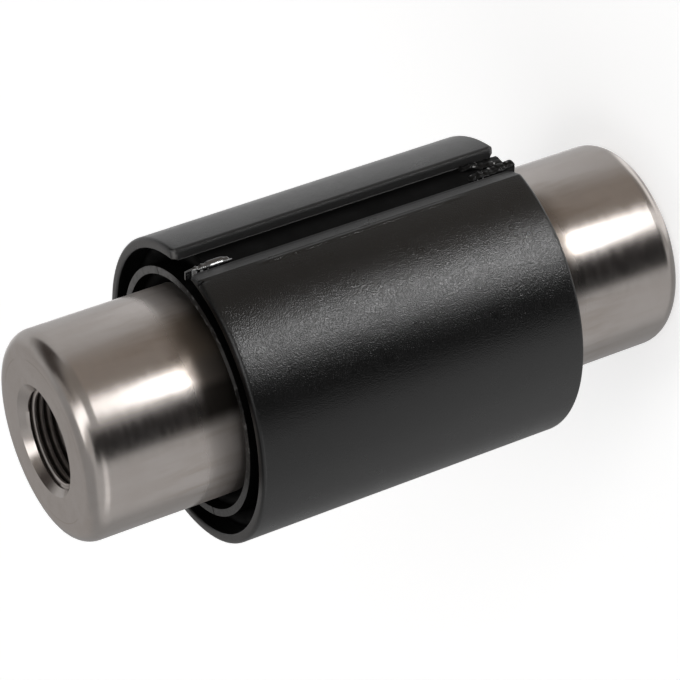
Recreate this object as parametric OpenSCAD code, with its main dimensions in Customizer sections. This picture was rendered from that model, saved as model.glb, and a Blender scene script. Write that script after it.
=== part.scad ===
// Rubber-metal bush: a tapped steel pin in a slit sleeve, with half shells between two layers of rubber.
// The bush stands on one end of its pin. Z runs along the axis, and X points at the middle of the slit.

/* [Pin] */
// Diameter of the steel pin
pin_d = 42; // [38:0.5:50]
// Length of the pin over both ends
pin_len = 131; // [115:1:160]
// Radius of the rounded edge at each end of the pin
pin_edge_r = 4; // [1:0.5:5]

/* [Tapped holes] */
// Nominal diameter of the thread
thread_d = 20; // [14:1:22]
// Pitch of the thread
thread_pitch = 1.5; // [1:0.25:2]
// Depth of the tapped hole to the end of its full diameter
hole_depth = 40; // [25:1:50]
// Included angle of the drill point at the bottom of the hole
drill_angle = 118; // [90:1:140]
// How much wider the countersink is than the thread, at the end face
countersink_wide = 2.3; // [0.5:0.1:4]
// Included angle of the countersink
countersink_angle = 90; // [60:5:120]

/* [Layers] */
// Thickness of the rubber between the pin and the half shells
inner_rubber_t = 2.6; // [1.5:0.1:5]
// Thickness of the half shells
shell_t = 1.5; // [0.8:0.1:3]
// Thickness of the rubber between the half shells and the sleeve
outer_rubber_t = 3.5; // [2:0.1:6]
// Thickness of the sleeve's sheet
sleeve_t = 2.1; // [1.5:0.1:4]

/* [Sleeve] */
// Length of the sleeve
sleeve_len = 71; // [60:1:100]
// Width of the slit, measured round the sleeve's bore
slit_gap = 6; // [5:0.5:10]
// Width of the bevel on one lip of the slit
bevel_w = 3.5; // [1:0.5:6]
// Thickness that the bevel leaves at the lip
bevel_land = 0.4; // [0.2:0.1:1]
// Chamfer on the rims of the sleeve
rim_chamfer = 0.3; // [0.1:0.1:0.6]
// Chamfer on the corners of the lips, at the ends of the slit
lip_chamfer = 1; // [0.5:0.25:2]

/* [Half shells] */
// Set-back of the half shells from the ends of the sleeve
shell_inset = 0.2; // [0:0.1:3]
// Gap between the two half shells
shell_joint_gap = 0.3; // [0.1:0.1:3]
// Angle from the slit to the nearer joint between the half shells
shell_joint_angle = 24; // [0:1:90]

/* [Rubber ends] */
// Depth from the end of the sleeve to the edge of the inner rubber
inner_recess = 3; // [1:0.5:10]
// Depth from the end of the sleeve to the edge of the outer rubber
outer_recess = 4.5; // [1:0.5:10]
// Share of a half circle by which the rubber's ends are hollowed
end_hollow = 0.6; // [0.1:0.1:0.9]

/* [Rubber tongues in the slit] */
// Gap between the tongues and the bevelled lip
tongue_bevel_gap = 0.3; // [0.1:0.1:1]
// Gap between the tongues and the square lip
tongue_square_gap = 3.1; // [1:0.1:3.5]
// Height of the tongues over the rubber in the slit
tongue_rise = 0.9; // [0.5:0.1:1.5]
// Length of the tongues' roots, from the recessed end of the rubber inwards
tongue_root = 5; // [3:0.5:10]
// Length by which the lower tongue stands out of the sleeve
tongue_flash = 1.3; // [0:0.1:3]
// Height of the web that fills the slit beside the lower tongue
web_rise = 0.3; // [0.1:0.1:0.8]
// Gap between the web and the square lip
web_gap = 0.3; // [0.1:0.1:1]

/* [Hidden] */
$fn = 96;
cut = 1;

// Radii of the layers, from the pin outwards
pin_r = pin_d / 2;
shell_in_r = pin_r + inner_rubber_t;
shell_out_r = shell_in_r + shell_t;
sleeve_in_r = shell_out_r + outer_rubber_t;
sleeve_out_r = sleeve_in_r + sleeve_t;

// Heights: the pin stands on Z = 0 and the sleeve sits at its middle
sleeve_low = (pin_len - sleeve_len) / 2;
sleeve_high = sleeve_low + sleeve_len;

// A basic internal thread is bored to its minor diameter, 1.0825 pitches under the nominal size
bore_r = (thread_d - 1.0825 * thread_pitch) / 2;
countersink_r = (thread_d + countersink_wide) / 2;
countersink_depth = (countersink_r - bore_r) / tan(countersink_angle / 2);
drill_tip = bore_r / tan(drill_angle / 2);

// Half the angle that the slit takes out of the sleeve
slit_half = slit_gap / 2 / sleeve_in_r * 180 / PI;
bevel_angle = bevel_w / sleeve_out_r * 180 / PI;
shell_joint_half = shell_joint_gap / 2 / shell_in_r * 180 / PI;

// The tongues fill the slit but for their two gaps, and climb from the rubber in it to the sleeve's end
tongue_w = slit_gap - tongue_bevel_gap - tongue_square_gap;
tongue_r = tongue_w / 2;
tongue_y = (tongue_bevel_gap - tongue_square_gap) / 2;
tongue_len = outer_recess + tongue_root;
tongue_slope = atan(tongue_rise / tongue_len);
tongue_foot = shell_out_r + outer_rubber_t / 2;

// A point of a plan outline, from its radius and angle
function polar(r, a) = [r * cos(a), r * sin(a)];

// Half profile of the hole in one end of the pin: countersink, tapped bore and drill point
module hole_profile() {
    polygon([
        [0, cut],
        [countersink_r, cut],
        [countersink_r, 0],
        [bore_r, -countersink_depth],
        [bore_r, -hole_depth],
        [0, -hole_depth - drill_tip]
    ]);
}

module tapped_hole() {
    rotate_extrude() hole_profile();
}

// Half profile of the bar, with a quarter round at each end
module bar_profile() {
    square([pin_r - pin_edge_r, pin_len]);
    translate([0, pin_edge_r]) square([pin_r, pin_len - 2 * pin_edge_r]);
    for (z = [pin_edge_r, pin_len - pin_edge_r])
        intersection() {
            translate([pin_r - pin_edge_r, z]) circle(pin_edge_r);
            square([pin_r, pin_len]);
        }
}

module inner_pin() {
    color("#9c9892")
    difference() {
        rotate_extrude() bar_profile();
        translate([0, 0, pin_len]) tapped_hole();
        mirror([0, 0, 1]) tapped_hole();
    }
}

// Half profile of one rubber layer, whose ends are set back from the sleeve's ends and hollowed
module rubber_profile(r_in, r_out, recess) {
    half_w = (r_out - r_in) / 2;
    sag = half_w * end_hollow;
    arc_r = (half_w * half_w + sag * sag) / (2 * sag);
    low = sleeve_low + recess;
    high = sleeve_high - recess;
    difference() {
        translate([r_in, low]) square([2 * half_w, high - low]);
        translate([r_in + half_w, low + sag - arc_r]) circle(arc_r);
        translate([r_in + half_w, high - sag + arc_r]) circle(arc_r);
    }
}

module inner_rubber() {
    color("#161616")
    rotate_extrude() rubber_profile(pin_r, shell_in_r, inner_recess);
}

// One half shell, from its joint half a turn round to the other joint
module half_shell(start) {
    color("#4a4a4b")
    rotate([0, 0, start + shell_joint_half])
        rotate_extrude(angle = 180 - 2 * shell_joint_half)
            translate([shell_in_r, sleeve_low + shell_inset])
                square([shell_t, sleeve_len - 2 * shell_inset]);
}

module mid_shell_a() {
    half_shell(shell_joint_angle);
}

module mid_shell_b() {
    half_shell(shell_joint_angle + 180);
}

// Tongue of rubber that rises out of the slit towards the sleeve's upper end, by over past that end.
// Its top is rounded and starts level with the rubber in the slit, and its foot stands in that rubber.
module tongue(over) {
    start = sleeve_high - tongue_len;
    intersection() {
        translate([sleeve_in_r, tongue_y, start])
            rotate([0, tongue_slope, 0])
                translate([-tongue_r, 0, -2 * cut])
                    linear_extrude(2 * tongue_len + over) {
                        circle(tongue_r);
                        translate([-2 * outer_rubber_t, -tongue_r]) square([2 * outer_rubber_t, tongue_w]);
                    }
        translate([tongue_foot, tongue_y - tongue_w, start - cut])
            cube([sleeve_out_r - tongue_foot, 2 * tongue_w, tongue_len + cut + over]);
    }
}

// Low web from the middle of a tongue to the square lip, which keeps the slit filled up to the sleeve's end
module web() {
    translate([tongue_foot, tongue_y, sleeve_high - tongue_len])
        cube([sleeve_in_r + web_rise - tongue_foot, slit_gap / 2 - web_gap - tongue_y, tongue_len]);
}

// The lower end has the longer tongue and the web
module lower_flash() {
    translate([0, 0, pin_len])
        mirror([0, 0, 1]) {
            tongue(tongue_flash);
            web();
        }
}

module outer_rubber() {
    color("#161616") {
        rotate_extrude() rubber_profile(shell_out_r, sleeve_in_r, outer_recess);
        tongue(0);
        lower_flash();
    }
}

// Section of the sleeve's wall, chamfered at both rims
module wall_section() {
    polygon([
        [sleeve_in_r + rim_chamfer, sleeve_low],
        [sleeve_out_r - rim_chamfer, sleeve_low],
        [sleeve_out_r, sleeve_low + rim_chamfer],
        [sleeve_out_r, sleeve_high - rim_chamfer],
        [sleeve_out_r - rim_chamfer, sleeve_high],
        [sleeve_in_r + rim_chamfer, sleeve_high],
        [sleeve_in_r, sleeve_high - rim_chamfer],
        [sleeve_in_r, sleeve_low + rim_chamfer]
    ]);
}

// Broad bevel along one lip, cut straight from the land at the lip to the outer surface
module lip_bevel() {
    lip = polar(sleeve_in_r + bevel_land, -slit_half);
    shoulder = polar(sleeve_out_r, -slit_half - bevel_angle);
    run = shoulder - lip;
    translate([lip.x, lip.y, sleeve_low - cut])
        rotate([0, 0, atan2(run.y, run.x)])
            translate([-cut, 0, 0])
                cube([norm(run) + 2 * cut, sleeve_t + cut, sleeve_len + 2 * cut]);
}

// Chamfer on the upper corner of one lip: side is 1 for the square lip and -1 for the bevelled one
module lip_corner(side) {
    reach = sqrt(2) * lip_chamfer + cut;
    rotate([0, 0, side * slit_half])
        translate([sleeve_in_r - cut, 0, sleeve_high - lip_chamfer])
            rotate([side * 45, 0, 0])
                translate([0, -reach, 0])
                    cube([sleeve_t + 2 * cut, 2 * reach, reach]);
}

module outer_sleeve() {
    color("#1d1d1e")
    difference() {
        rotate([0, 0, slit_half])
            rotate_extrude(angle = 360 - 2 * slit_half) wall_section();
        lip_bevel();
        for (side = [-1, 1]) {
            lip_corner(side);
            translate([0, 0, pin_len]) mirror([0, 0, 1]) lip_corner(side);
        }
    }
}

inner_pin();
inner_rubber();
mid_shell_a();
mid_shell_b();
outer_rubber();
outer_sleeve();
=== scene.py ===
"""Looks of a rubber-metal bush: its turned pin, painted sleeve and rubber, in a plain pale studio."""

import math

import bmesh
import bpy
from mathutils import Matrix, Vector, noise


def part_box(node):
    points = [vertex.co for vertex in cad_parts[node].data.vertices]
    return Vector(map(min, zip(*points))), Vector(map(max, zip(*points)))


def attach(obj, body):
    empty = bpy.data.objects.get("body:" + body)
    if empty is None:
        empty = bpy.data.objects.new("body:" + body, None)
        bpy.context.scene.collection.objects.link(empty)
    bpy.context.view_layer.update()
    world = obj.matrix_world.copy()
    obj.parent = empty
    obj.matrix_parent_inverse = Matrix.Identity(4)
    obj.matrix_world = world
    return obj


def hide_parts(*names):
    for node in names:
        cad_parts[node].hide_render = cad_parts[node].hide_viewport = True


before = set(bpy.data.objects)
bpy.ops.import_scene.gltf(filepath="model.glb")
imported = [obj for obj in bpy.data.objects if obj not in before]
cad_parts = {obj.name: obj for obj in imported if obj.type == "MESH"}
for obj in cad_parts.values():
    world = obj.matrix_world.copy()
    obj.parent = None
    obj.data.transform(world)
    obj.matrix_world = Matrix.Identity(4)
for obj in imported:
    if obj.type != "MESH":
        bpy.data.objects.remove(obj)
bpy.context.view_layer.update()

MM = 0.001
TURN = 2 * math.pi

# Sizes that the frame gives: the pin stands on Z = 0, and the sleeve sits at its middle
PIN_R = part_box("inner_pin")[1].x
PIN_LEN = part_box("inner_pin")[1].z
SHELL_R = -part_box("mid_shell_a")[0].x
SLEEVE_R = -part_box("outer_sleeve")[0].x
SLEEVE_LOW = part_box("outer_sleeve")[0].z
SLEEVE_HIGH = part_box("outer_sleeve")[1].z
MIDDLE = PIN_LEN / 2
SLEEVE_HALF = SLEEVE_HIGH - MIDDLE
BORE_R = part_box("outer_rubber")[1].y

# Pin
PIN_EDGE_R = 4 * MM
THREAD_R = 10 * MM
THREAD_PITCH = 1.5 * MM
THREAD_CREST_R = 9.188 * MM
THREAD_DEPTH = 36 * MM
HOLE_DEPTH = 40 * MM
COUNTERSINK_R = 11.15 * MM
DRILL_HALF_ANGLE = math.radians(59)

# Marks on the pin beside the rubber: a dull film all round, a brown stain on one side that is partly painted
# shade, and painted shade on one side, a dark reflection painted on the steel.
# They reach to one distance from the middle, and each sets in between two distances counted from there.
# The stain and the painted shade lie between two angles. The painted shade is black up to a third angle,
# and brown past it.
MARKS_END = SLEEVE_HALF + 6.6 * MM
FILM_FADE = (0.4 * MM, -4.2 * MM)
STAIN_AND_SHADE_FADE = (2.5 * MM, -4 * MM)
PAINTED_SHADE_FADE = (1.2 * MM, -3 * MM)
STAIN_AND_SHADE_ANGLES = (math.radians(-42), math.radians(-6))
PAINTED_SHADE_ANGLES = (math.radians(-69), math.radians(-36))
PAINTED_SHADE_BLACK_END = math.radians(-50)

# Fine line of the facing cut on the end faces: its radius, and how far from it the line is gone and full
SCORE_R = 16.3 * MM
SCORE_FADE = (0.14 * MM, 0.04 * MM)

# Sleeve and its slit
SLIT_HALF = math.radians(6.01)
BEVEL_ANGLE = math.radians(6.53)
BEVEL_LAND = 0.4 * MM
RIM_OUTER_ROUND = 0.8 * MM
RIM_INNER_ROUND = 0.4 * MM
LIP_CHAMFER = 1 * MM
# Radius of the square lip's rounded edge, in millimetres
LIP_ROUND_MM = 0.8
# Bead of paint at the foot of the square lip: where its points lie along the bore, and their radii
PAINT_BEAD = ((-0.1 * MM, BORE_R + 0.05 * MM), (-0.01 * MM, BORE_R + 0.15 * MM))

# Burr along the bevel's shoulder: its height, how far its middle lies from the shoulder, its half width,
# the heights of its two ends, and the length over which it rises at each
BURR_HEIGHT = 0.15 * MM
BURR_PLACE = 0.75 * MM
BURR_HALF = 0.5 * MM
BURR_LOW = 42 * MM
BURR_HIGH = 88 * MM
BURR_LOW_RISE = 6 * MM
BURR_HIGH_RISE = 1.5 * MM
# Size of the lumps along the burr, and its mean and uneven share of the height
BURR_LUMP = 3 * MM
BURR_MEAN = 0.85
BURR_UNEVEN = 0.5

# Nick where the shoulder meets the upper rim: how far its middle lies from the shoulder, its angle round the
# axis, its half width, its depth and the height of its lower end
NICK_PLACE = 0.65 * MM
NICK_ANGLE = -SLIT_HALF - BEVEL_ANGLE - NICK_PLACE / SLEEVE_R
NICK_HALF = 0.35 * MM
NICK_DEPTH = 0.5 * MM
NICK_LOW = 99.8 * MM

# Angles between which the sleeve's end faces have lost their sheen
DULL_ANGLES = (math.radians(-95), math.radians(10))
# Angles in radians over which painted light makes the end faces of the sleeve and the half shells paler on
# one side
LIT_SIDE_ANGLES = (-0.4, 0.3)

# Painted shade on the end faces of the half shells: the angles in radians over which it sets in and stops,
# and the middle of a painted highlight in it, with how far from it the highlight ends and is full
SHELL_SHADE_START = (-1.95, -1.7)
SHELL_SHADE_STOP = (0.2, 0.0)
SHELL_HIGHLIGHT_ANGLE = -0.79
SHELL_HIGHLIGHT_FADE = (0.2, 0.1)

# Rubber between the half shells and the sleeve
RUBBER_RECESS = 4.5 * MM
RUBBER_HOLLOW = 1.05 * MM
TONGUE_FOOT = SHELL_R + 1.75 * MM


# Node trees

def feed(tree, socket, value):
    """Links a socket to another node's output, or sets its value."""
    if isinstance(value, bpy.types.NodeSocket):
        tree.links.new(value, socket)
    else:
        socket.default_value = value


def add_node(tree, kind, inputs, **settings):
    made = tree.nodes.new("ShaderNode" + kind)
    for name, value in settings.items():
        setattr(made, name, value)
    for key, value in inputs.items():
        feed(tree, made.inputs[key], value)
    return made


def calc(tree, operation, *values):
    return add_node(tree, "Math", dict(enumerate(values)), operation=operation).outputs[0]


def times(tree, first, second):
    return calc(tree, "MULTIPLY", first, second)


def distance(tree, value, centre):
    """How far a value is from a centre, on either side of it."""
    return calc(tree, "ABSOLUTE", calc(tree, "SUBTRACT", value, centre))


def dot(tree, first, second):
    return add_node(tree, "VectorMath", {0: first, 1: second}, operation="DOT_PRODUCT").outputs["Value"]


def ramp(tree, value, start, end, low=0.0, high=1.0):
    """Goes smoothly from low to high while value goes from start to end."""
    inputs = {"Value": value, "From Min": start, "From Max": end, "To Min": low, "To Max": high}
    return add_node(tree, "MapRange", inputs, interpolation_type="SMOOTHSTEP").outputs["Result"]


def mix(tree, share, first, second):
    """A colour between two others, which are the node's sockets 6 and 7."""
    return add_node(tree, "Mix", {0: share, 6: first, 7: second}, data_type="RGBA").outputs[2]


def speckle(tree, vector, size, detail=2.0, stretch=(1, 1, 1)):
    """Noise from 0 to 1, whose lumps are size across, and wider by stretch."""
    scale = tuple(1 / (size * s) for s in stretch)
    place = add_node(tree, "Mapping", {"Vector": vector, "Scale": scale}).outputs[0]
    return add_node(tree, "TexNoise", {"Vector": place, "Scale": 1.0, "Detail": detail}).outputs[0]


def grey(level):
    return (level, level, level, 1.0)


# Studio: a world of large soft cards, and a white floor

BASE_LIGHT = 0.55
# Softness of a card's ends, as a share of the height of the sky
CARD_END = 0.05
# The pin's side mirrors a narrow belt a little under the horizon, where the light is softer than around it
BELT = (-0.60, -0.22)
# Azimuth of a narrow strip, which gives the pin its bright streak and the sleeve its highlight. The strip
# leaves out the heights that the pin's upper end face mirrors when it is seen from behind.
STRIP = -35.5
# Each card: azimuth it hangs at, half its width, its soft edge, its lowest and highest reach, its light
CARDS = (
    (0, 0.40, 0.28, -1.2, 1.2, (0.26, 0.24, 0.22, 1)),
    (0, 0.40, 0.28, *BELT, (0.37, 0.33, 0.295, 1)),
    (0, 0.40, 0.20, -0.45, -0.37, (0.17, 0.155, 0.14, 1)),
    (72, 0.30, 0.20, -0.43, -0.39, grey(1.6)),
    (50, 0.40, 0.24, 0.14, 0.85, (0.06, 0.052, 0.048, 1)),
    (82, 0.45, 0.15, -1.2, -0.70, grey(1.3)),
    (-74, 0.28, 0.07, -0.75, 0.72, grey(0.02)),
    (-118, 0.45, 0.20, -0.05, 0.30, grey(1.0)),
    (160, 0.53, 0.12, -1.2, 1.2, grey(0.35)),
    (120, 0.09, 0.06, -1.2, -0.08, grey(1.2)),
    (135, 0.50, 0.15, 0.10, 0.60, (0.414, 0.401, 0.392, 1)),
    (STRIP, 0.15, 0.035, 0.42, 1.2, grey(2.4)),
    (STRIP, 0.15, 0.035, -1.2, BELT[0], grey(1.2)),
    (STRIP, 0.145, 0.035, *BELT, grey(1.6)),
    (STRIP, 0.17, 0.035, -0.455, -0.38, grey(10.0)),
    (STRIP, 0.17, 0.035, -0.455, -0.43, grey(40.0)),
)


def hang_card(tree, direction, light, card):
    """Lays one card's light over the light of the cards before it."""
    azimuth, half, edge, low, high, colour = card
    angle = math.radians(azimuth)
    across = dot(tree, direction, (-math.sin(angle), math.cos(angle), 0))
    ahead = dot(tree, direction, (math.cos(angle), math.sin(angle), 0))
    height = dot(tree, direction, (0, 0, 1))
    share = ramp(tree, calc(tree, "ABSOLUTE", across), half + edge, half - edge)
    for shape in (
        ramp(tree, ahead, -CARD_END, CARD_END),
        ramp(tree, height, low - CARD_END, low + CARD_END),
        ramp(tree, height, high + CARD_END, high - CARD_END),
    ):
        share = times(tree, share, shape)
    return mix(tree, share, light, colour)


def make_world():
    """The cards' light, behind which the camera sees plain white."""
    world = bpy.data.worlds.new("studio")
    bpy.context.scene.world = world
    world.use_nodes = True
    tree = world.node_tree
    tree.nodes.clear()
    direction = add_node(tree, "TexCoord", {}).outputs["Generated"]
    light = add_node(tree, "RGB", {}).outputs[0]
    light.default_value = grey(BASE_LIGHT)
    for card in CARDS:
        light = hang_card(tree, direction, light, card)
    seen = add_node(tree, "LightPath", {}).outputs["Is Camera Ray"]
    shown = mix(tree, seen, light, grey(1.0))
    background = add_node(tree, "Background", {"Color": shown, "Strength": 1.0})
    add_node(tree, "OutputWorld", {"Surface": background.outputs[0]})


# Radius of the floor, the number of its sides, and the glow that keeps it white to the camera
FLOOR_R = 4.0
FLOOR_SIDES = 96
FLOOR_GLOW = 0.6


def make_floor():
    mesh = bpy.data.meshes.new("floor")
    shape = bmesh.new()
    bmesh.ops.create_circle(shape, cap_ends=True, segments=FLOOR_SIDES, radius=FLOOR_R)
    shape.to_mesh(mesh)
    shape.free()
    floor = bpy.data.objects.new("floor", mesh)
    bpy.context.scene.collection.objects.link(floor)
    material, tree, shader = new_material("white_floor")
    shader.inputs["Base Color"].default_value = grey(0.8)
    shader.inputs["Roughness"].default_value = 0.9
    shader.inputs["Emission Color"].default_value = grey(1.0)
    seen = add_node(tree, "LightPath", {}).outputs["Is Camera Ray"]
    feed(tree, shader.inputs["Emission Strength"], times(tree, seen, FLOOR_GLOW))
    mesh.materials.append(material)
    floor.visible_glossy = False


# Camera: its lens in millimetres, its place, and the directions behind it and to its right
LENS = 178.6
CAMERA_PLACE = (0.38722, -0.45788, 0.33505)
CAMERA_BACK = (0.5898, -0.6967, 0.4083)
CAMERA_RIGHT = (-0.0007, -0.5061, -0.8625)


def make_camera():
    """The photograph's view: the standing bush seen from above, with the camera rolled over to its left."""
    data = bpy.data.cameras.new("camera")
    data.lens = LENS
    camera = bpy.data.objects.new("camera", data)
    bpy.context.scene.collection.objects.link(camera)
    back = Vector(CAMERA_BACK).normalized()
    up = back.cross(Vector(CAMERA_RIGHT)).normalized()
    right = up.cross(back)
    place = Matrix((right, up, back)).transposed().to_4x4()
    place.translation = CAMERA_PLACE
    camera.matrix_world = place
    bpy.context.scene.camera = camera


# Materials

# Colours of the pin: the steel in two shades, its streaks, the stain with painted shade, and the painted
# shade in black and in brown
STEEL = (0.55, 0.508, 0.482, 1)
STEEL_CLOUD = (0.522, 0.478, 0.45, 1)
STREAK = (0.36, 0.30, 0.25, 1)
STAIN_AND_SHADE = (0.20, 0.165, 0.135, 1)
PAINTED_SHADE_BLACK = (0.05, 0.043, 0.038, 1)
PAINTED_SHADE_BROWN = (0.15, 0.13, 0.115, 1)

# Colours of the thread: its crests in two shades, and the painted shade at its roots
CREST = (0.72, 0.67, 0.64, 1)
CREST_DULL = (0.45, 0.40, 0.37, 1)
ROOT_SHADE = (0.13, 0.11, 0.10, 1)

# Colours of the sleeve: paint, painted light on its end faces, the edge of its lips, bare metal at their
# corners, and painted shade in the nick
PAINT = grey(0.003)
END_FACE_LIGHT = grey(0.045)
LIP_GREY = grey(0.03)
BARE_METAL = (0.24, 0.235, 0.23, 1)
NICK_SHADE = grey(0.001)


def new_material(name):
    material = bpy.data.materials.new(name)
    material.use_nodes = True
    tree = material.node_tree
    return material, tree, tree.nodes["Principled BSDF"]


def place_in(tree):
    """The point on the surface, its radius, its angle round the axis and its height over the floor."""
    point = add_node(tree, "TexCoord", {}).outputs["Object"]
    x, y, z = add_node(tree, "SeparateXYZ", {0: point}).outputs
    squares = calc(tree, "ADD", times(tree, x, x), times(tree, y, y))
    return point, calc(tree, "SQRT", squares), calc(tree, "ARCTAN2", y, x), z


def from_middle(tree, height):
    """Distance along the axis from the middle of the bush."""
    return distance(tree, height, MIDDLE)


def bump(tree, shader, *layers):
    """Raises the surface by layers of (height from 0 to 1, depth in metres)."""
    normal = None
    for height, depth in layers:
        made = add_node(tree, "Bump", {"Height": height, "Strength": 1.0, "Distance": depth})
        if normal:
            feed(tree, made.inputs["Normal"], normal)
        normal = made.outputs[0]
    feed(tree, shader.inputs["Normal"], normal)


# How fast the turning marks change round the axis
MARKS_AROUND = 6.0


def turning_marks(tree, point, radius, height, size):
    """Fine rings round the axis, as a lathe leaves them on a side, an edge or an end."""
    x, y, _ = add_node(tree, "SeparateXYZ", {0: point}).outputs
    turned = add_node(tree, "CombineXYZ", {
        0: times(tree, calc(tree, "DIVIDE", x, radius), MARKS_AROUND),
        1: times(tree, calc(tree, "DIVIDE", y, radius), MARKS_AROUND),
        2: calc(tree, "DIVIDE", radius, size),
    }).outputs[0]
    inputs = {"Vector": turned, "W": calc(tree, "DIVIDE", height, size), "Scale": 1.0, "Detail": 2.0}
    return add_node(tree, "TexNoise", inputs, noise_dimensions="4D").outputs[0]


def sector(tree, angle, first, last, edge):
    """One between two angles round the axis, and zero beyond them."""
    return times(
        tree,
        ramp(tree, angle, first - edge, first + edge),
        ramp(tree, angle, last + edge, last - edge),
    )


def mark(tree, reach, fade):
    """Share of a mark or of painted shade beside the rubber, at a point's distance from the middle."""
    start, full = fade
    return ramp(tree, reach, MARKS_END + start, MARKS_END + full)


def turned_steel():
    """Smooth turned steel, with the marks and the painted shade beside the rubber."""
    material, tree, shader = new_material("turned_steel")
    point, radius, angle, height = place_in(tree)
    fine = turning_marks(tree, point, radius, height, 0.2 * MM)
    broad = turning_marks(tree, point, radius, height, 1.1 * MM)
    clouds = speckle(tree, point, 11 * MM, 3.0)
    streaks = ramp(tree, speckle(tree, point, 2.2 * MM, 3.0, (1, 1, 6)), 0.4, 0.7)
    reach = calc(tree, "SUBTRACT", from_middle(tree, height), times(tree, clouds, 1.2 * MM))
    # The brown stain is partly painted shade, which ends the pin's highlight beside the rubber
    stain_and_shade_sector = sector(tree, calc(tree, "MULTIPLY_ADD", streaks, 0.1, angle), *STAIN_AND_SHADE_ANGLES, 0.14)
    stain_and_shade = times(tree, mark(tree, reach, STAIN_AND_SHADE_FADE), stain_and_shade_sector)
    # Painted shade: a dark reflection painted on one side beside the rubber, black and then brown
    painted_shade = times(tree, mark(tree, reach, PAINTED_SHADE_FADE), sector(tree, angle, *PAINTED_SHADE_ANGLES, 0.09))
    streaked = times(tree, streaks, ramp(tree, reach, MARKS_END + 14 * MM, MARKS_END, 0.1, 0.35))
    line = ramp(tree, distance(tree, radius, SCORE_R), *SCORE_FADE)
    scored = times(tree, line, ramp(tree, clouds, 0.4, 0.55, 0.0, 0.5))
    colour = mix(tree, ramp(tree, clouds, 0.3, 0.7), STEEL, STEEL_CLOUD)
    colour = mix(tree, calc(tree, "MAXIMUM", streaked, scored), colour, STREAK)
    colour = mix(tree, stain_and_shade, colour, STAIN_AND_SHADE)
    browning = ramp(tree, angle, PAINTED_SHADE_BLACK_END - 0.06, PAINTED_SHADE_BLACK_END + 0.06)
    colour = mix(tree, painted_shade, colour, mix(tree, browning, PAINTED_SHADE_BLACK, PAINTED_SHADE_BROWN))
    feed(tree, shader.inputs["Base Color"], colour)
    shader.inputs["Metallic"].default_value = 1.0
    bare = ramp(tree, broad, 0.3, 0.7, 0.2, 0.25)
    film = mark(tree, reach, FILM_FADE)
    feed(tree, shader.inputs["Roughness"], calc(tree, "MULTIPLY_ADD", film, 0.26, bare))
    bump(tree, shader, (fine, 0.003 * MM), (broad, 0.004 * MM))
    return material


def cut_steel():
    """The thread: bright crests, and flanks darkened by painted shade towards the roots."""
    material, tree, shader = new_material("cut_steel")
    point, radius, _, _ = place_in(tree)
    patches = speckle(tree, point, 2 * MM, 2.0)
    crests = mix(tree, patches, CREST, CREST_DULL)
    # Painted shade: the flanks darken towards the roots of the thread
    root_shade = ramp(tree, radius, THREAD_CREST_R + 0.15 * MM, THREAD_CREST_R + 0.65 * MM)
    feed(tree, shader.inputs["Base Color"], mix(tree, root_shade, crests, ROOT_SHADE))
    shader.inputs["Metallic"].default_value = 0.9
    shader.inputs["Roughness"].default_value = 0.24
    return material


def satin_paint():
    """Black paint with a fine grain, with painted light on one side of the end faces, worn at the lips'
    corners, shinier low down, and with painted shade in the nick.
    """
    material, tree, shader = new_material("satin_paint")
    point, radius, angle, height = place_in(tree)
    grain = speckle(tree, point, 0.22 * MM, 0.0)
    clouds = speckle(tree, point, 4 * MM, 2.0)
    edge_noise = speckle(tree, point, 0.8 * MM, 3.0)
    from_rim = calc(tree, "SUBTRACT", SLEEVE_HALF, from_middle(tree, height))
    lip_angle = calc(tree, "SUBTRACT", calc(tree, "ABSOLUTE", angle), SLIT_HALF)
    from_lip = times(tree, lip_angle, SLEEVE_R)
    end_face = times(
        tree,
        ramp(tree, from_rim, 0.5 * MM, 0.1 * MM),
        ramp(tree, radius, SLEEVE_R, SLEEVE_R - 0.6 * MM),
    )
    corner = times(
        tree,
        ramp(tree, from_lip, 1.2 * MM, 0.2 * MM),
        ramp(tree, from_rim, 1.2 * MM, 0.3 * MM),
    )
    worn = times(tree, corner, ramp(tree, edge_noise, 0.3, 0.55))
    # Painted shade: the nick is painted near black, and its shine is lowered
    nick_shade_half = 0.6 * NICK_HALF / SLEEVE_R
    nick_shade = times(
        tree,
        ramp(tree, height, NICK_LOW - 0.1 * MM, NICK_LOW + 0.2 * MM),
        sector(tree, angle, NICK_ANGLE - nick_shade_half, NICK_ANGLE + nick_shade_half, 0.005),
    )
    dull = times(tree, end_face, sector(tree, angle, *DULL_ANGLES, 0.15))
    # Painted light: the end faces are paler on one side
    lit_side = times(tree, end_face, ramp(tree, angle, *LIT_SIDE_ANGLES))
    colour = mix(tree, lit_side, PAINT, END_FACE_LIGHT)
    colour = mix(tree, ramp(tree, from_lip, 0.25 * MM, 0.05 * MM), colour, LIP_GREY)
    colour = mix(tree, worn, colour, BARE_METAL)
    colour = mix(tree, nick_shade, colour, NICK_SHADE)
    feed(tree, shader.inputs["Base Color"], colour)
    gloss = ramp(tree, height, SLEEVE_LOW, SLEEVE_HIGH, 0.8, 0.62)
    shine = ramp(tree, calc(tree, "MAXIMUM", dull, nick_shade), 0.0, 1.0, gloss, 0.15)
    feed(tree, shader.inputs["Specular IOR Level"], shine)
    sheen = ramp(tree, from_lip, 1.2 * MM, 0.7 * MM, 0.25, 0.5)
    feed(tree, shader.inputs["Roughness"], calc(tree, "MULTIPLY_ADD", clouds, 0.08, sheen))
    bump(tree, shader, (clouds, 0.006 * MM), (grain, 0.045 * MM))
    return material


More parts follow.
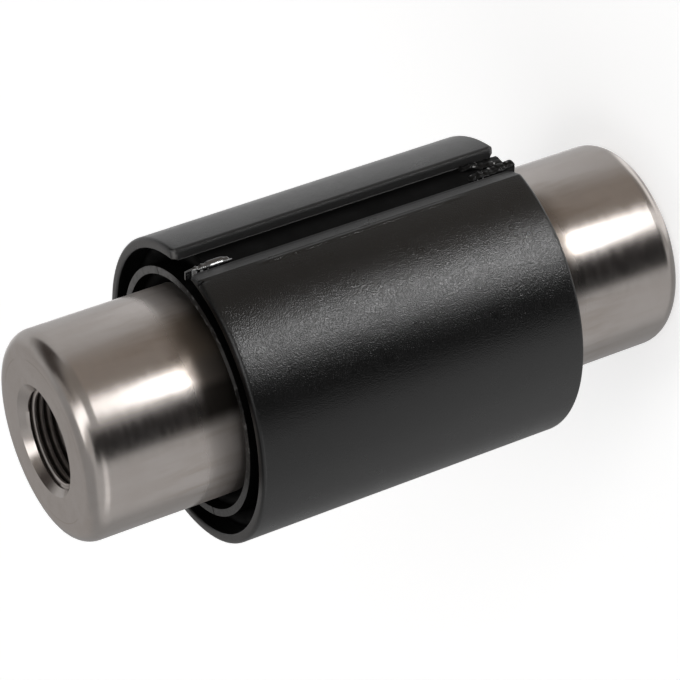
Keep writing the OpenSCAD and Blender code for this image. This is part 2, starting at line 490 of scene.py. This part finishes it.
def black_rubber():
    """The dull skin of both layers' recessed ends."""
    material, tree, shader = new_material("black_rubber")
    point, _, _, _ = place_in(tree)
    skin = speckle(tree, point, 0.5 * MM, 3.0)
    clouds = speckle(tree, point, 4 * MM, 3.0)
    feed(tree, shader.inputs["Base Color"], mix(tree, clouds, grey(0.001), grey(0.003)))
    shader.inputs["Specular IOR Level"].default_value = 0.07
    feed(tree, shader.inputs["Roughness"], ramp(tree, clouds, 0.3, 0.7, 0.45, 0.6))
    bump(tree, shader, (clouds, 0.05 * MM), (skin, 0.012 * MM))
    return material


def glossy_rubber():
    """The shiny skin of the tongue at the slit's upper end."""
    material, tree, shader = new_material("glossy_rubber")
    point, _, _, _ = place_in(tree)
    dents = speckle(tree, point, 0.9 * MM, 2.0)
    feed(tree, shader.inputs["Base Color"], mix(tree, dents, grey(0.003), grey(0.006)))
    shader.inputs["IOR"].default_value = 1.9
    shader.inputs["Specular IOR Level"].default_value = 1.0
    feed(tree, shader.inputs["Roughness"], ramp(tree, dents, 0.35, 0.65, 0.16, 0.24))
    bump(tree, shader, (dents, 0.008 * MM))
    return material


def torn_rubber():
    """The dull skin of the torn flash at the slit's lower end, with a few painted glints in pale grey."""
    material, tree, shader = new_material("torn_rubber")
    point, _, _, _ = place_in(tree)
    dents = speckle(tree, point, 0.7 * MM, 3.0)
    # Painted glints: pale flecks on the torn crests
    flecks = ramp(tree, speckle(tree, point, 0.8 * MM, 1.0), 0.67, 0.72)
    feed(tree, shader.inputs["Base Color"], mix(tree, flecks, grey(0.002), grey(0.5)))
    shader.inputs["Specular IOR Level"].default_value = 0.25
    feed(tree, shader.inputs["Roughness"], ramp(tree, dents, 0.35, 0.65, 0.3, 0.5))
    bump(tree, shader, (dents, 0.06 * MM))
    return material


def shell_steel():
    """Half shell under a black skin of rubber, with a bare grey end that has painted light on one side, and
    painted shade over part of it with a painted highlight in one spot.
    """
    material, tree, shader = new_material("shell_steel")
    point, _, angle, height = place_in(tree)
    grain = speckle(tree, point, 0.4 * MM, 3.0)
    patches = ramp(tree, speckle(tree, point, 1.4 * MM, 3.0), 0.4, 0.65)
    flecks = ramp(tree, speckle(tree, point, 1.3 * MM, 3.0), 0.57, 0.68)
    end = ramp(tree, from_middle(tree, height), SLEEVE_HALF - 0.35 * MM, SLEEVE_HALF - 0.25 * MM)
    # Painted light: the bare end is paler on one side
    bare = mix(tree, ramp(tree, angle, *LIT_SIDE_ANGLES), grey(0.045), grey(0.14))
    bare = mix(tree, times(tree, patches, 0.4), bare, grey(0.03))
    # Painted shade over part of the bare end, with a painted highlight in one spot, broken by flecks
    shell_shade_span = times(tree, ramp(tree, angle, *SHELL_SHADE_START), ramp(tree, angle, *SHELL_SHADE_STOP))
    shell_highlight = ramp(tree, distance(tree, angle, SHELL_HIGHLIGHT_ANGLE), *SHELL_HIGHLIGHT_FADE)
    shell_shade = times(tree, shell_shade_span, calc(tree, "SUBTRACT", 1.0, shell_highlight))
    bare = mix(tree, times(tree, shell_shade, flecks), bare, grey(0.1))
    shell_shade = times(tree, shell_shade, calc(tree, "SUBTRACT", 1.0, flecks))
    bare = mix(tree, shell_shade, bare, grey(0.004))
    feed(tree, shader.inputs["Base Color"], mix(tree, end, grey(0.002), bare))
    feed(tree, shader.inputs["Specular IOR Level"], ramp(tree, end, 0.0, 1.0, 0.05, 0.5))
    feed(tree, shader.inputs["Roughness"], ramp(tree, grain, 0.3, 0.7, 0.42, 0.6))
    bump(tree, shader, (patches, 0.03 * MM), (grain, 0.02 * MM))
    return material


# Shapes

# Sides of a ring round the axis, and the distance under which points are joined
SIDES = 144
WELD = 0.0005 * MM
# Angles in degrees over which an edge is sharp: on metal and layers, and on the ridges in the slit
SHARP_DEG = 28
RIDGE_SHARP_DEG = 50


def new_piece(name, shape, materials, sharp_deg=SHARP_DEG):
    """An object from a mesh shape, smooth but for its sharp edges, riding on the bush."""
    bmesh.ops.recalc_face_normals(shape, faces=shape.faces[:])
    mesh = bpy.data.meshes.new(name)
    shape.to_mesh(mesh)
    shape.free()
    for material in materials:
        mesh.materials.append(material)
    mesh.polygons.foreach_set("use_smooth", [True] * len(mesh.polygons))
    mesh.set_sharp_from_angle(angle=math.radians(sharp_deg))
    piece = bpy.data.objects.new(name, mesh)
    bpy.context.scene.collection.objects.link(piece)
    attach(piece, "root")
    return piece


def ring(radius, height):
    """A circle of points round the axis."""
    return [
        (radius * math.cos(TURN * i / SIDES), radius * math.sin(TURN * i / SIDES), height)
        for i in range(SIDES)
    ]


def join_rings(shape, rings):
    """Walls between rings that follow each other."""
    rows = [[shape.verts.new(p) for p in points] for points in rings]
    for below, above in zip(rows, rows[1:]):
        for i in range(SIDES):
            j = (i + 1) % SIDES
            shape.faces.new((below[i], below[j], above[j], above[i]))
    return rows


def join_rows(shape, rows):
    """Walls between open rows of points that follow each other."""
    for below, above in zip(rows, rows[1:]):
        for i in range(len(below) - 1):
            shape.faces.new((below[i], below[i + 1], above[i + 1], above[i]))


# Pin

# One pitch of an internal 60 degree thread: share of the pitch, and share of the thread's height
THREAD_PROFILE = ((0, 0), (0.25, 0), (0.406, 0.5), (0.5625, 1), (0.6875, 1), (0.844, 0.5))
# Turns over which the thread runs out at its lower end
RUN_OUT_TURNS = 2
# Step of the pin's rounded edge in degrees, and width of the flat ring round the countersink
EDGE_STEP_DEG = 9
FACE_RING = 1.5 * MM


def thread_radius(depth, share):
    """The wall of the tapped hole: the thread, which runs out at its end, cut by the countersink."""
    fade = min(max((THREAD_DEPTH - depth) / (RUN_OUT_TURNS * THREAD_PITCH), 0), 1)
    thread = THREAD_CREST_R + share * fade * (THREAD_R - THREAD_CREST_R)
    return max(thread, COUNTERSINK_R - depth)


def thread_column(i):
    """Points down the hole's wall at one angle. A right-hand thread goes deeper as the angle falls."""
    turned = 1 - i / SIDES
    angle = TURN * i / SIDES
    points = []
    for turn in range(-1, int(THREAD_DEPTH / THREAD_PITCH) + 2):
        for at, share in THREAD_PROFILE:
            depth = min(max((turn + at + turned) * THREAD_PITCH, 0), THREAD_DEPTH)
            radius = thread_radius(depth, share)
            points.append((radius * math.cos(angle), radius * math.sin(angle), PIN_LEN - depth))
    return points


def tapped_wall(shape):
    """The threaded stretch of the hole. Its last column meets the first one a pitch further down."""
    columns = [[shape.verts.new(p) for p in thread_column(i)] for i in range(SIDES)]
    pitch_rows = len(THREAD_PROFILE)
    rows = len(columns[0])
    countersink_end = PIN_LEN - (COUNTERSINK_R - THREAD_CREST_R)
    for i in range(SIDES):
        j = (i + 1) % SIDES
        shift = pitch_rows if j == 0 else 0
        for row in range(rows - 1):
            down = row + 1 - shift
            if down < 1:
                continue
            corners = (columns[i][row], columns[i][row + 1], columns[j][down], columns[j][down - 1])
            face = shape.faces.new(corners)
            # The pin's second material is for the thread, which starts below the countersink
            face.material_index = 1 if min(v.co.z for v in corners) < countersink_end else 0


def half_pin():
    """The pin from its middle to its upper end."""
    shape = bmesh.new()
    edge = [
        (PIN_R - PIN_EDGE_R * (1 - math.sin(a)), PIN_LEN - PIN_EDGE_R * (1 - math.cos(a)))
        for a in (math.radians(degrees) for degrees in range(0, 91, EDGE_STEP_DEG))
    ]
    outside = [(COUNTERSINK_R, PIN_LEN), (COUNTERSINK_R + FACE_RING, PIN_LEN)] + edge
    outside += [(PIN_R, SLEEVE_HIGH), (PIN_R, MIDDLE)]
    join_rings(shape, [ring(r, z) for r, z in outside][::-1])
    tapped_wall(shape)
    floor_z = PIN_LEN - HOLE_DEPTH
    wall_end = PIN_LEN - THREAD_DEPTH
    rows = join_rings(shape, [ring(THREAD_CREST_R, wall_end), ring(THREAD_CREST_R, floor_z)])
    tip = shape.verts.new((0, 0, floor_z - THREAD_CREST_R / math.tan(DRILL_HALF_ANGLE)))
    last = rows[-1]
    for i in range(SIDES):
        shape.faces.new((last[i], last[(i + 1) % SIDES], tip))
    return shape


def make_pin():
    """The whole pin: its upper half, and the same half turned over."""
    shape = half_pin()
    other = bmesh.ops.duplicate(shape, geom=shape.verts[:] + shape.edges[:] + shape.faces[:])["geom"]
    moved = [v for v in other if isinstance(v, bmesh.types.BMVert)]
    flip = Matrix.Translation((0, 0, PIN_LEN)) @ Matrix.Rotation(math.pi, 4, "X")
    bmesh.ops.transform(shape, matrix=flip, verts=moved)
    bmesh.ops.remove_doubles(shape, verts=shape.verts[:], dist=WELD)
    pin = new_piece("threaded_pin", shape, [turned_steel(), cut_steel()])
    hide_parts("inner_pin")


# Sleeve

# Steps of its mesh: between the rims, over a rim's round, round the axis, over the burr and the lip's edge
SLEEVE_ROWS = 60
RIM_STEPS = 6
AROUND_STEPS = 170
BURR_STEPS = 12
LIP_STEPS = 4
# Shares of the bevel's width at which it has columns of points
BEVEL_SHARES = (0.04, 0.2, 0.4, 0.55, 0.7, 0.85, 0.97, 1)
# Shares of the wall that the rims' rounds may take up, where the bevel makes it thin
OUTER_ROUND_SHARE = 0.4
INNER_ROUND_SHARE = 0.3


def square_lip():
    """Angles and outer radii at the square lip: the bead of paint at its foot, its face and its edge."""
    steps = list(PAINT_BEAD)
    for k in range(LIP_STEPS + 1):
        turn = math.pi / 2 * k / LIP_STEPS
        along = round(LIP_ROUND_MM * (1 - math.cos(turn)), 2)
        down = round(LIP_ROUND_MM * (1 - math.sin(turn)), 2)
        steps.append((along * MM, SLEEVE_R - down * MM))
    steps.append((LIP_CHAMFER, SLEEVE_R))
    return [(SLIT_HALF + along / SLEEVE_R, radius) for along, radius in steps]


def bevelled_lip():
    """Angles and outer radii along the bevel, a straight cut from the shoulder to the land at the lip."""
    shoulder = Matrix.Rotation(-SLIT_HALF - BEVEL_ANGLE, 2) @ Vector((SLEEVE_R, 0))
    lip = Matrix.Rotation(-SLIT_HALF, 2) @ Vector((BORE_R + BEVEL_LAND, 0))
    cuts = [shoulder.lerp(lip, share) for share in BEVEL_SHARES]
    return [(TURN + math.atan2(p.y, p.x), p.length) for p in cuts]


def sleeve_columns():
    """Angles and outer radii of all columns of points, from the square lip round to the bevelled one."""
    first = square_lip()
    start = first[-1][0]
    shoulder = TURN - SLIT_HALF - BEVEL_ANGLE
    burr_start = shoulder - (BURR_PLACE + 2 * BURR_HALF) / SLEEVE_R
    around = [start + (burr_start - start) * k / AROUND_STEPS for k in range(1, AROUND_STEPS + 1)]
    around += [burr_start + (shoulder - burr_start) * k / BURR_STEPS for k in range(1, BURR_STEPS + 1)]
    return first + [(angle, SLEEVE_R) for angle in around] + bevelled_lip()


def burr(from_shoulder, height):
    """How far the burr along the shoulder stands out: unevenly, and only between its two ends."""
    across = 1 - ((from_shoulder - BURR_PLACE) / BURR_HALF) ** 2
    low_end = max((height - BURR_LOW) / BURR_LOW_RISE, 0)
    high_end = max((BURR_HIGH - height) / BURR_HIGH_RISE, 0)
    along = BURR_MEAN + BURR_UNEVEN * noise.noise((0, 0, height / BURR_LUMP))
    return BURR_HEIGHT * max(across, 0) * min(low_end, high_end, 1) * along


def nick(from_shoulder, height):
    """How deep the nick cuts in, which widens and deepens from its lower end to the rim."""
    across = 1 - abs(from_shoulder - NICK_PLACE) / NICK_HALF
    along = (height - NICK_LOW) / (SLEEVE_HIGH - NICK_LOW)
    return NICK_DEPTH * max(across, 0) * max(along, 0)


def rounding(radius, depth):
    """How far a rounded edge is set back at some depth from the rim."""
    rest = max(radius - depth, 0)
    return radius - math.sqrt(radius * radius - rest * rest)


def sleeve_section(share, depth, columns):
    """Outer and inner points of one row. The lips' corners are chamfered, so rows rise or fall there."""
    outer = []
    inner = []
    for angle, radius in columns:
        from_lip = min(angle - SLIT_HALF, TURN - SLIT_HALF - angle) * SLEEVE_R
        from_shoulder = (TURN - SLIT_HALF - BEVEL_ANGLE - angle) * SLEEVE_R
        cut = min(max(LIP_CHAMFER - from_lip, 0), LIP_CHAMFER) + depth
        height = SLEEVE_LOW + cut + share * (SLEEVE_HIGH - SLEEVE_LOW - 2 * cut)
        room = radius - BORE_R
        out = radius - min(rounding(RIM_OUTER_ROUND, depth), OUTER_ROUND_SHARE * room)
        out += burr(from_shoulder, height) - nick(from_shoulder, height)
        bore = BORE_R + min(rounding(RIM_INNER_ROUND, depth), INNER_ROUND_SHARE * room)
        outer.append((out * math.cos(angle), out * math.sin(angle), height))
        inner.append((bore * math.cos(angle), bore * math.sin(angle), height))
    return outer, inner


def make_sleeve():
    columns = sleeve_columns()
    turns = [math.pi / 2 * k / RIM_STEPS for k in range(RIM_STEPS + 1)]
    depths = [RIM_OUTER_ROUND * (1 - math.cos(turn)) for turn in turns]
    rows = [(0, depth) for depth in depths]
    rows += [(k / SLEEVE_ROWS, depths[-1]) for k in range(1, SLEEVE_ROWS)]
    rows += [(1, depth) for depth in depths[::-1]]
    shape = bmesh.new()
    walls = []
    for share, depth in rows:
        outer, inner = sleeve_section(share, depth, columns)
        walls.append([shape.verts.new(p) for p in outer + inner[::-1]])
    join_rows(shape, [wall + wall[:1] for wall in walls])
    for wall in (walls[0], walls[-1]):
        outer = wall[:len(columns)]
        inner = wall[len(columns):][::-1]
        join_rows(shape, [outer, inner])
    sleeve = new_piece("slit_sleeve", shape, [satin_paint()])
    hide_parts("outer_sleeve")


# Rubber

# Steps over the hollow of the layer's ends, and over the round top of a ridge
HOLLOW_STEPS = 12
TOP_STEPS = 16


def half_circle(steps):
    """Cosines and sines of the angles from 0 to 180 degrees."""
    turns = [math.pi * k / steps for k in range(steps + 1)]
    return [(math.cos(turn), math.sin(turn)) for turn in turns]


def rubber_rings():
    """The rubber layer's closed profile: its outside, a hollowed end, its inside and the other end."""
    half = (BORE_R - SHELL_R) / 2
    edge = SLEEVE_HIGH - RUBBER_RECESS
    high = [(SHELL_R + half + half * c, edge - RUBBER_HOLLOW * s) for c, s in half_circle(HOLLOW_STEPS)]
    low = [(r, PIN_LEN - z) for r, z in high[::-1]]
    profile = high + low
    return [ring(r, z) for r, z in profile + profile[:1]]


# Stations of each ridge in the slit, in millimetres: distance from the sleeve's end, middle across the slit,
# half width, and rise over the radius of the sleeve's bore
UPPER_TONGUE = (
    (0.2, -1.3, 0.25, 0.05), (1.4, -1.4, 0.3, 0.3), (2.3, -1.6, 0.75, 0.7), (2.9, -1.6, 0.6, 0.45),
    (3.5, -1.65, 0.9, 0.85), (4.1, -1.65, 0.85, 0.7), (5.0, -1.7, 1.05, 1.0), (7.5, -1.7, 1.05, 1.0),
    (8.8, -1.75, 0.8, 0.7), (9.9, -1.8, 0.2, 0.05),
)
LOWER_TONGUE = (
    (-1.3, -1.3, 0.9, 0.8), (-1.0, -1.35, 1.15, 0.95), (1.0, -1.4, 1.3, 0.95), (4.0, -1.5, 1.2, 0.6),
    (6.5, -1.6, 1.1, 0.65), (8.3, -1.6, 0.95, 0.35), (9.0, -1.6, 0.5, 0.0),
)
LOWER_WEB = (
    (0.0, 1.3, 1.5, 0.2), (2.0, 1.4, 1.5, 0.35), (4.5, 1.6, 1.3, 0.3), (6.5, 1.9, 1.0, 0.7),
    (8.0, 2.0, 0.9, 0.6), (8.8, 2.0, 0.4, 0.0),
)
# Step between a ridge's rows, and how far noise moves a whole and a torn skin, in millimetres
RIDGE_STEP = 0.15
WHOLE = 0.015
TORN = 0.35
# Size of the lumps in that skin, and the seed of their noise, which keeps them the same in each run
TEAR_LUMP = 0.9 * MM
TEAR_SEED = 1

# Sections of a ridge: shares of its half width and of its rise, from the bevelled lip's side to the other
ROUND_TOP = tuple((-c, s) for c, s in half_circle(TOP_STEPS))
SLANTED_TOP = (
    (-0.9, 0), (-0.89, 0.15), (-0.85, 0.32), (-0.75, 0.5), (-0.58, 0.67), (-0.36, 0.82), (-0.12, 0.93),
    (0.1, 0.99), (0.24, 1), (0.36, 0.97), (0.45, 0.88), (0.5, 0.7), (0.52, 0),
)


def between(stations, at):
    """The values of a station at some place between the listed ones."""
    for before, after in zip(stations, stations[1:]):
        if at <= after[0]:
            share = max((at - before[0]) / (after[0] - before[0]), 0)
            share = share * share * (3 - 2 * share)
            return [a + (b - a) * share for a, b in zip(before, after)]
    return stations[-1]


def ridge(shape, stations, section, tear, to_height):
    """A ridge of rubber along the slit, on a stem that stands in the layer, torn by some amount."""
    first, last = stations[0][0], stations[-1][0]
    steps = int((last - first) / RIDGE_STEP)
    rows = []
    for k in range(steps + 1):
        at = first + (last - first) * k / steps
        _, middle, half, rise = (value * MM for value in between(stations, at))
        height = to_height(at * MM)
        points = [(TONGUE_FOOT, middle - half, height)]
        for across, up in section:
            point = Vector((BORE_R + rise * up, middle + half * across, height))
            points.append(point + tear * MM * up * noise.noise_vector(point / TEAR_LUMP))
        points.append((TONGUE_FOOT, middle + half, height))
        rows.append([shape.verts.new(p) for p in points])
    join_rows(shape, [row + row[:1] for row in rows])
    shape.faces.new(rows[0])
    shape.faces.new(rows[-1][::-1])


def make_rubber():
    """The layer, the tongue at the slit's upper end, and the torn flash at its lower end."""
    shape = bmesh.new()
    join_rings(shape, rubber_rings())
    bmesh.ops.remove_doubles(shape, verts=shape.verts[:], dist=WELD)
    rubber = new_piece("layer_rubber", shape, [black_rubber()])
    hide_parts("outer_rubber")
    noise.seed_set(TEAR_SEED)
    shape = bmesh.new()
    ridge(shape, UPPER_TONGUE, SLANTED_TOP, WHOLE, lambda at: SLEEVE_HIGH - at)
    tongue = new_piece("upper_tongue", shape, [glossy_rubber()], RIDGE_SHARP_DEG)
    shape = bmesh.new()
    ridge(shape, LOWER_TONGUE, ROUND_TOP, TORN, lambda at: SLEEVE_LOW + at)
    ridge(shape, LOWER_WEB, ROUND_TOP, TORN, lambda at: SLEEVE_LOW + at)
    flash = new_piece("lower_flash", shape, [torn_rubber()], RIDGE_SHARP_DEG)


# The bush in its studio

make_camera()
make_world()
make_floor()
make_pin()
make_sleeve()
make_rubber()

# The other solids are shown as they are, in materials of this scene
NODE_MATERIALS = {
    "inner_rubber": black_rubber(),
    "mid_shell_a": shell_steel(),
    "mid_shell_b": shell_steel(),
}
for name, material in NODE_MATERIALS.items():
    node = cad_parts[name]
    node.data.materials.clear()
    node.data.materials.append(material)

bpy.context.scene.view_settings.view_transform = "Standard"
